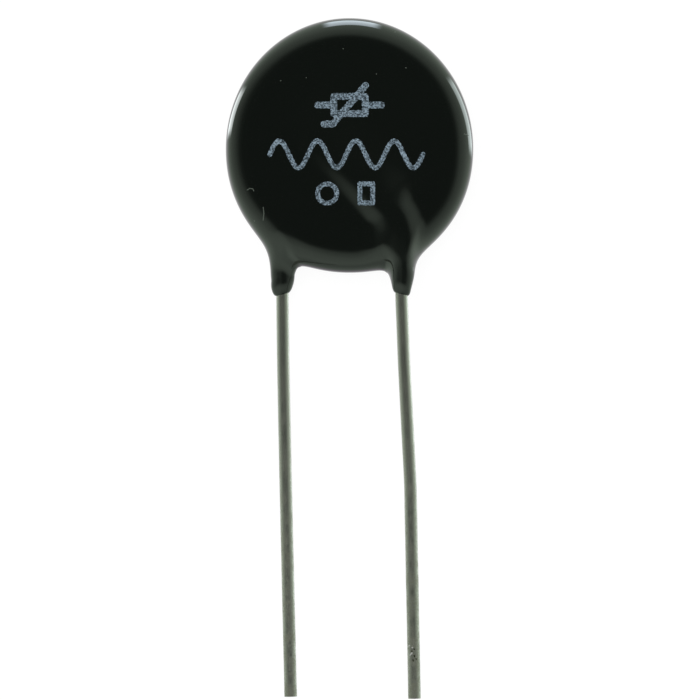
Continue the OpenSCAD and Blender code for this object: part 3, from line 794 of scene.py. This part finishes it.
def inside_strokes(x, y, strokes, line):
    """How far a point lies inside the strokes, with a rough edge."""
    nearest = np.full(x.shape, 1e9)
    for stroke in strokes:
        for a, b in zip(stroke[:-1], stroke[1:]):
            nearest = np.minimum(nearest, off_stretch(x, y, np.asarray(a, float), np.asarray(b, float)))
    places = (Vector((px, py, 0)) * ROUGH_PER_MM for px, py in zip(x.flat, y.flat))
    rough = np.array([noise.noise(place) for place in places]).reshape(x.shape)
    return line / 2 - nearest + ROUGH_EDGE * rough


# %% Ink film over the strokes
# Thickness of the ink, and how deep its underside lies in the coat
INK_TOP, INK_KEY = 0.03, 0.02
# How far up its rise the ink is at the strokes' edge, and the width of the whole rise
EDGE_RISEN, RISE_W = 0.35, 0.12
CELL = 0.035
# Added to the square of the slope, so that no point slides far where the distance levels out
SLIDE_LIMIT = 0.25


def film_cells(field):
    """Cells of the grid that lie in the strokes, the points they use, and the points inside the film."""
    kept = (field[:-1, :-1] + field[1:, :-1] + field[1:, 1:] + field[:-1, 1:]) > 0
    used = np.zeros(field.shape, bool)
    for dx in (0, 1):
        for dy in (0, 1):
            used[dx:dx + kept.shape[0], dy:dy + kept.shape[1]] |= kept
    whole = np.zeros(field.shape, bool)
    whole[1:-1, 1:-1] = kept[:-1, :-1] & kept[1:, :-1] & kept[1:, 1:] & kept[:-1, 1:]
    return kept, used, whole


def film_faces(kept, used):
    """A top and an underside over each cell, and a wall round them."""
    n = int(used.sum())
    number = np.full(used.shape, -1)
    number[used] = np.arange(n)
    faces, sides = [], {}
    for i, j in np.argwhere(kept):
        quad = [int(number[i, j]), int(number[i + 1, j]), int(number[i + 1, j + 1]), int(number[i, j + 1])]
        faces += [tuple(quad), tuple(v + n for v in reversed(quad))]
        for a, b in zip(quad, quad[1:] + quad[:1]):
            if sides.pop((b, a), None) is None:
                sides[a, b] = True
    return faces + [(a, a + n, b + n, b) for a, b in sides]


def ink_film(strokes, line):
    """Points and faces of a closed film of ink over the strokes."""
    ends = np.concatenate([np.asarray(s, float) for s in strokes])
    low, high = ends.min(0) - line, ends.max(0) + line
    xs, ys = np.arange(low[0], high[0], CELL), np.arange(low[1], high[1], CELL)
    gx, gy = np.meshgrid(xs, ys, indexing="ij")
    field = inside_strokes(gx, gy, strokes, line)
    kept, used, whole = film_cells(field)
    slope_x, slope_y = np.gradient(field, CELL)
    steep = slope_x ** 2 + slope_y ** 2 + SLIDE_LIMIT
    slide = np.where(used & ~whole, np.clip(field, -CELL, CELL) / steep, 0)
    px, py = (gx - slide * slope_x)[used], (gy - slide * slope_y)[used]
    z = coat_z(FRONT, px, py)
    film = INK_TOP * smooth(EDGE_RISEN + field[used] / RISE_W)
    points = np.concatenate([np.column_stack([px, py, z + film]), np.column_stack([px, py, z - INK_KEY])])
    return points, film_faces(kept, used)


# %% Film for every mark
ink_points, ink_faces = [], []
for strokes, line in marks:
    points, faces = ink_film(strokes, line)
    first = sum(len(p) for p in ink_points)
    ink_points.append(points)
    ink_faces += [tuple(v + first for v in f) for f in faces]
print("Faces of the ink film:", len(ink_faces))

# %% [markdown]
# ## Pale marking ink
# Marking ink is a thin coloured lacquer. The pad lays it down unevenly, so the black shows through in
# mottles a tenth of a millimetre across, and it dries matt. A hole in the film for each mottle would take
# far too many faces. One noise that runs between the black and the pale colour looks the same.

# %% Ink material
# Width and height of a mottle, in mm, and how broken up it is
MOTTLE_W, MOTTLE_H, MOTTLE_BROKEN = 0.1, 0.006, 0.7
# The noise's values at which the black shows and at which the ink covers it
BLACK_AT, COVERED_AT = 0.43, 0.62
INK_ROUGH, INK_IOR = 0.55, 1.5


def ink_material():
    material, tree, place = new_material("pad_printed_ink")
    mottle = add(tree, "ShaderNodeTexNoise", {"Vector": place, "Scale": per_mm(MOTTLE_W), "Detail": 2.0,
                                              "Roughness": MOTTLE_BROKEN}).outputs[0]
    cover = add(tree, "ShaderNodeMapRange", {0: mottle, 1: BLACK_AT, 2: COVERED_AT}).outputs[0]
    through, pale = linear("#252f37"), linear("#8ea2b1")
    colour = add(tree, "ShaderNodeMix", {0: cover, 6: through, 7: pale}, data_type="RGBA").outputs[2]
    bump = add(tree, "ShaderNodeBump", {"Strength": 1.0, "Distance": MOTTLE_H * MM, "Height": mottle})
    finish_material(tree, {"Base Color": colour, "Roughness": INK_ROUGH, "IOR": INK_IOR,
                           "Normal": bump.outputs[0]})
    return material


make_piece("pad_print", np.concatenate(ink_points), ink_faces, ink_material(), "printed_mark", slot="ink")

# %% [markdown]
# ## The pieces inside
# The coat hides the ceramic, its silver layers and the solder, but they are part of the object, so they get
# real finishes too. They could be made again like the coat, but their CAD meshes are right as they are.
# Pressed and fired zinc oxide is a fine grained grey-black. Fired silver paste is a matt, slightly yellow
# white. Tin solder sets bright and a little wavy. One function makes the three materials, because each is a
# single noise between two tones. Grains of the ceramic and the silver are about 0.01 mm across, too fine to
# show, so they are drawn coarser.

# %% Materials of the inner pieces
# The noise's values at which a tone is darkest and lightest
DARKEST_AT, LIGHTEST_AT = 0.35, 0.65


def inner_material(name, dark, light, grain_w, grain_h, roughness, metallic):
    """A material with grains of this width and height, in mm, between two tones."""
    material, tree, place = new_material(name)
    grain = add(tree, "ShaderNodeTexNoise",
                {"Vector": place, "Scale": per_mm(grain_w), "Detail": 4.0}).outputs[0]
    tone = add(tree, "ShaderNodeMapRange", {0: grain, 1: DARKEST_AT, 2: LIGHTEST_AT}).outputs[0]
    colour = add(tree, "ShaderNodeMix", {0: tone, 6: linear(dark), 7: linear(light)}, data_type="RGBA")
    bump = add(tree, "ShaderNodeBump", {"Strength": 1.0, "Distance": grain_h * MM, "Height": grain})
    finish_material(tree, {"Base Color": colour.outputs[2], "Roughness": roughness, "Metallic": metallic,
                           "Normal": bump.outputs[0]})
    return material


ceramic = inner_material("fired_zinc_oxide", "#3c403f", "#565a59", grain_w=0.08, grain_h=0.003,
                         roughness=0.7, metallic=0.0)
silver = inner_material("fired_silver_paste", "#cfcdc4", "#e4e2da", grain_w=0.05, grain_h=0.002,
                        roughness=0.5, metallic=1.0)
solder = inner_material("tin_solder", "#bdbfc0", "#d8d9d9", grain_w=0.6, grain_h=0.01,
                        roughness=0.22, metallic=1.0)
for node, finish in (("ceramic_disc", ceramic), ("front_electrode", silver), ("rear_electrode", silver),
                     ("front_solder", solder), ("rear_solder", solder)):
    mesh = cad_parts[node].data
    mesh.materials.clear()
    mesh.materials.append(finish)
print("Inner pieces finished")

# %% [markdown]
# ## Camera
# The photograph looks straight down on the printed face, from so far off that the two wires' tips look as
# thick as their tops. An orthographic camera would give nearly that. A long lens far above is used, because a
# real one took the picture. It frames 44.1 mm.

# %% Camera straight above
VIEW_MM, LENS, SENSOR = 44.1, 300, 36
# Point of the model in the middle of the picture, in mm
AIM = (0.03, 0.49)
aim = Vector((*AIM, SEAT[2])) * MM
lens = bpy.data.cameras.new("camera")
lens.lens, lens.sensor_width = LENS, SENSOR
lens.clip_start, lens.clip_end = 0.01, 100
camera = bpy.data.objects.new("camera", lens)
camera.location = aim + Vector((0, 0, VIEW_MM * MM * LENS / SENSOR))
bpy.context.scene.collection.objects.link(camera)
bpy.context.scene.camera = camera
print("Camera height, in mm:", round(camera.location.z / MM))

# %% [markdown]
# ## Floor
# The floor is a white sheet. A lit sheet alone would be grey in places. So to the camera it is mostly the
# white of the photograph's background, and the rest is lit like any sheet, so that a soft shadow stays.
# Reflections look past it into the studio below.

# %% White floor
FLOOR_HALF = 1.5
WHITE, PAPER = (1, 1, 1, 1), (0.88, 0.88, 0.88, 1)
# Brightness of the background's white, and its share in what the camera sees
GLOW, GLOW_SHARE = 1.06, 0.88


def floor_material():
    material, tree, _ = new_material("white_sheet")
    sheet = add(tree, "ShaderNodeBsdfDiffuse", {"Color": PAPER})
    white = add(tree, "ShaderNodeEmission", {"Color": WHITE, "Strength": GLOW})
    ray = add(tree, "ShaderNodeLightPath")
    share = add(tree, "ShaderNodeMath", {0: ray.outputs["Is Camera Ray"], 1: GLOW_SHARE},
                operation="MULTIPLY").outputs[0]
    both = add(tree, "ShaderNodeMixShader", {0: share, 1: sheet.outputs[0], 2: white.outputs[0]})
    add(tree, "ShaderNodeOutputMaterial", {"Surface": both.outputs[0]})
    return material


sheet_mesh = bpy.data.meshes.new("floor")
corners = [(sx * FLOOR_HALF, sy * FLOOR_HALF, 0) for sx, sy in ((-1, -1), (1, -1), (1, 1), (-1, 1))]
sheet_mesh.from_pydata(corners, [], [(0, 1, 2, 3)])
sheet_mesh.materials.append(floor_material())
floor = bpy.data.objects.new("floor", sheet_mesh)
floor.visible_glossy = False
bpy.context.scene.collection.objects.link(floor)
print("Floor across, in m:", 2 * FLOOR_HALF)

# %% [markdown]
# ## Light
# Glossy black shows nothing but what it mirrors, so the studio around it is the most important colour of
# the coat. A picture of a studio could wrap the scene, or real lamps and cards could stand round it. Here the
# world's own nodes work out how bright each direction is, because every reflection can then be put where the
# photograph shows it. The studio is dark towards the camera, pale at the sides and white behind. Three soft
# panels low around the disc draw the bright arcs on its rim, and a dark card on the wires' side dims the
# edge between the legs. A wide lamp above lights the ink and the floor.

# %% Each direction of the studio
world = bpy.data.worlds.new("studio")
bpy.context.scene.world = world
world.use_nodes = True
tree = world.node_tree
tree.nodes.clear()
way = add(tree, "ShaderNodeTexCoord").outputs["Generated"]
part = add(tree, "ShaderNodeSeparateXYZ", {0: way}).outputs

# Angle off the camera's direction, and azimuth, in degrees
PER_RADIAN = 180 / math.pi
off = add(tree, "ShaderNodeMath", {0: part["Z"]}, operation="ARCCOSINE").outputs[0]
angle = add(tree, "ShaderNodeMath", {0: off, 1: PER_RADIAN}, operation="MULTIPLY").outputs[0]
round_z = add(tree, "ShaderNodeMath", {0: part["Y"], 1: part["X"]}, operation="ARCTAN2").outputs[0]
azimuth = add(tree, "ShaderNodeMath", {0: round_z, 1: PER_RADIAN}, operation="MULTIPLY").outputs[0]

# How level a direction is: 1 level, and nearly 0 straight up or down, where it still has to divide
LEAST_LEVEL = 1e-6
turned = add(tree, "ShaderNodeMath", {0: part["Z"], 1: -1.0}, operation="MULTIPLY").outputs[0]
square = add(tree, "ShaderNodeMath", {0: part["Z"], 1: turned, 2: 1.0}, operation="MULTIPLY_ADD").outputs[0]
square = add(tree, "ShaderNodeMath", {0: square, 1: LEAST_LEVEL}, operation="MAXIMUM").outputs[0]
level = add(tree, "ShaderNodeMath", {0: square}, operation="SQRT").outputs[0]

# Which way it leans, as the camera sees it
to_right = add(tree, "ShaderNodeMath", {0: part["X"], 1: level}, operation="DIVIDE").outputs[0]
to_top = add(tree, "ShaderNodeMath", {0: part["Y"], 1: level}, operation="DIVIDE").outputs[0]
print("Nodes that describe a direction:", len(tree.nodes))

# %% Dark opening above
# Angle off the camera's direction at which the dark opening ends: left, right, up and down
OPEN_LEFT, OPEN_RIGHT, OPEN_UP, OPEN_DOWN = 68, 49, 38, 31
# Brightness at each multiple of that angle
RAMP = ((0, 0.03), (0.55, 0.045), (0.8, 0.12), (1.0, 0.32), (1.25, 0.58), (1.6, 0.75), (2.0, 0.95),
        (2.5, 1.0))
RAMP_TO = RAMP[-1][0]
TINT = (0.84, 1, 0.83)
# The opening is a rounded rectangle: a circle's rule has a 2 where this has a 4
SQUARE = 4.0

reaches = []
for axis, most, least in (("X", OPEN_RIGHT, -OPEN_LEFT), ("Y", OPEN_UP, -OPEN_DOWN)):
    ahead = add(tree, "ShaderNodeMath", {0: part[axis], 1: most}, operation="DIVIDE").outputs[0]
    back = add(tree, "ShaderNodeMath", {0: part[axis], 1: least}, operation="DIVIDE").outputs[0]
    reach = add(tree, "ShaderNodeMath", {0: ahead, 1: back}, operation="MAXIMUM").outputs[0]
    reaches.append(add(tree, "ShaderNodeMath", {0: reach, 1: SQUARE}, operation="POWER").outputs[0])
corner = add(tree, "ShaderNodeMath", dict(enumerate(reaches)), operation="ADD").outputs[0]
corner = add(tree, "ShaderNodeMath", {0: corner, 1: 1 / SQUARE}, operation="POWER").outputs[0]
share = add(tree, "ShaderNodeMath", {0: angle, 1: level}, operation="DIVIDE").outputs[0]
share = add(tree, "ShaderNodeMath", {0: share, 1: corner}, operation="MULTIPLY").outputs[0]
share = add(tree, "ShaderNodeMath", {0: share, 1: RAMP_TO}, operation="DIVIDE").outputs[0]
print("The ramp runs to this multiple of the opening's angle:", RAMP_TO)

# %% Skewed edge of the opening
# The opening ends sooner by this share at the lower left, and later at the upper left and the lower right
LESS_LOWER_LEFT, MORE_ACROSS = 0.27, 0.12
left = add(tree, "ShaderNodeMath", {0: to_right, 1: 0.0}, operation="MINIMUM").outputs[0]
low = add(tree, "ShaderNodeMath", {0: to_top, 1: 0.0}, operation="MINIMUM").outputs[0]
lower_left = add(tree, "ShaderNodeMath", {0: left, 1: low}, operation="MULTIPLY").outputs[0]
across = add(tree, "ShaderNodeMath", {0: to_right, 1: to_top}, operation="MULTIPLY").outputs[0]
across = add(tree, "ShaderNodeMath", {0: across, 1: 0.0}, operation="MINIMUM").outputs[0]
skew = add(tree, "ShaderNodeMath", {0: lower_left, 1: 2 * LESS_LOWER_LEFT, 2: 1.0},
           operation="MULTIPLY_ADD").outputs[0]
skew = add(tree, "ShaderNodeMath", {0: across, 1: 2 * MORE_ACROSS, 2: skew},
           operation="MULTIPLY_ADD").outputs[0]
share = add(tree, "ShaderNodeMath", {0: share, 1: skew}, operation="MULTIPLY").outputs[0]
ramp = add(tree, "ShaderNodeValToRGB", {0: share})
for place, _ in RAMP[1:-1]:
    ramp.color_ramp.elements.new(place / RAMP_TO)
for stop, (_, brightness) in zip(ramp.color_ramp.elements, RAMP):
    stop.color = (*(brightness * c for c in TINT), 1)
# Below, between these heights of a direction, the studio turns white
WHITE_FROM, WHITE_TO = -0.5, -0.9
below = add(tree, "ShaderNodeMapRange", {0: part["Z"], 1: WHITE_FROM, 2: WHITE_TO},
            interpolation_type="SMOOTHSTEP").outputs[0]
total = add(tree, "ShaderNodeMix", {0: below, 6: ramp.outputs[0], 7: WHITE}, data_type="RGBA").outputs[2]
print("Stops in the ramp:", len(ramp.color_ramp.elements))

# %% Panels and a dark card
# Each panel's azimuth and polar angle, half its width in each, how soft its edge is, how much its polar angle
# falls for each degree of azimuth, and its brightness
PANELS = {"left": ((161.3, 127), (9.5, 16), 3, -0.4, (4.7, 5.0, 5.0)),
          "right": ((17.5, 123), (15.5, 15.5), 3, 0.5, (3.0, 3.4, 3.4)),
          "top": ((88.8, 113), (12.5, 17), 3, 0.0, (4.3, 4.9, 5.5)),
          "dark card": ((-91, 124), (28, 30), 12, 0.0, (-0.32, -0.38, -0.31))}


def within(value, centre, half, soft):
    """Turns from 1 to 0 where the value leaves a range, with soft ends."""
    off = add(tree, "ShaderNodeMath", {0: value, 1: centre}, operation="SUBTRACT").outputs[0]
    off = add(tree, "ShaderNodeMath", {0: off}, operation="ABSOLUTE").outputs[0]
    return add(tree, "ShaderNodeMapRange", {0: off, 1: half + soft, 2: half - soft},
               interpolation_type="SMOOTHSTEP").outputs[0]


for (turned, tilted), (wide, tall), soft, slant, brightness in PANELS.values():
    aside = add(tree, "ShaderNodeMath", {0: azimuth, 1: turned}, operation="SUBTRACT").outputs[0]
    fall = add(tree, "ShaderNodeMath", {0: aside, 1: slant}, operation="MULTIPLY").outputs[0]
    straightened = add(tree, "ShaderNodeMath", {0: angle, 1: fall}, operation="ADD").outputs[0]
    sides, ends = within(azimuth, turned, wide, soft), within(straightened, tilted, tall, soft)
    patch = add(tree, "ShaderNodeMath", {0: sides, 1: ends}, operation="MULTIPLY").outputs[0]
    glow = add(tree, "ShaderNodeVectorMath", {0: brightness, 3: patch}, operation="SCALE").outputs[0]
    total = add(tree, "ShaderNodeVectorMath", {0: total, 1: glow}, operation="ADD").outputs[0]
print("In the studio:", ", ".join(PANELS))

# %% What each kind of ray sees
EVEN_LIGHT = (0.5, 0.5, 0.5, 1)
ray = add(tree, "ShaderNodeLightPath").outputs
lit = add(tree, "ShaderNodeMix", {0: ray["Is Diffuse Ray"], 6: total, 7: EVEN_LIGHT}, data_type="RGBA")
seen = add(tree, "ShaderNodeMix", {0: ray["Is Camera Ray"], 6: lit.outputs[2], 7: WHITE}, data_type="RGBA")
background = add(tree, "ShaderNodeBackground", {"Color": seen.outputs[2], "Strength": 1.0})
add(tree, "ShaderNodeOutputWorld", {"Surface": background.outputs[0]})
print("Nodes in the studio:", len(tree.nodes))

# %% Wide lamp above
LAMP_SIZE, LAMP_POWER, LAMP_PLACE = 0.5, 2.2, (-0.08, 0.12, 0.6)
lamp_data = bpy.data.lights.new("wide_lamp", "AREA")
lamp_data.shape, lamp_data.size = "DISK", LAMP_SIZE
lamp_data.energy = LAMP_POWER
lamp = bpy.data.objects.new("wide_lamp", lamp_data)
lamp.location = LAMP_PLACE
lamp.rotation_euler = (Vector((0, 0, 0)) - lamp.location).to_track_quat("-Z", "Y").to_euler()
lamp.visible_glossy = False
lamp.visible_camera = False
bpy.context.scene.collection.objects.link(lamp)
bpy.context.scene.view_settings.view_transform = "Standard"
print("Height of the lamp, in m:", LAMP_PLACE[2])
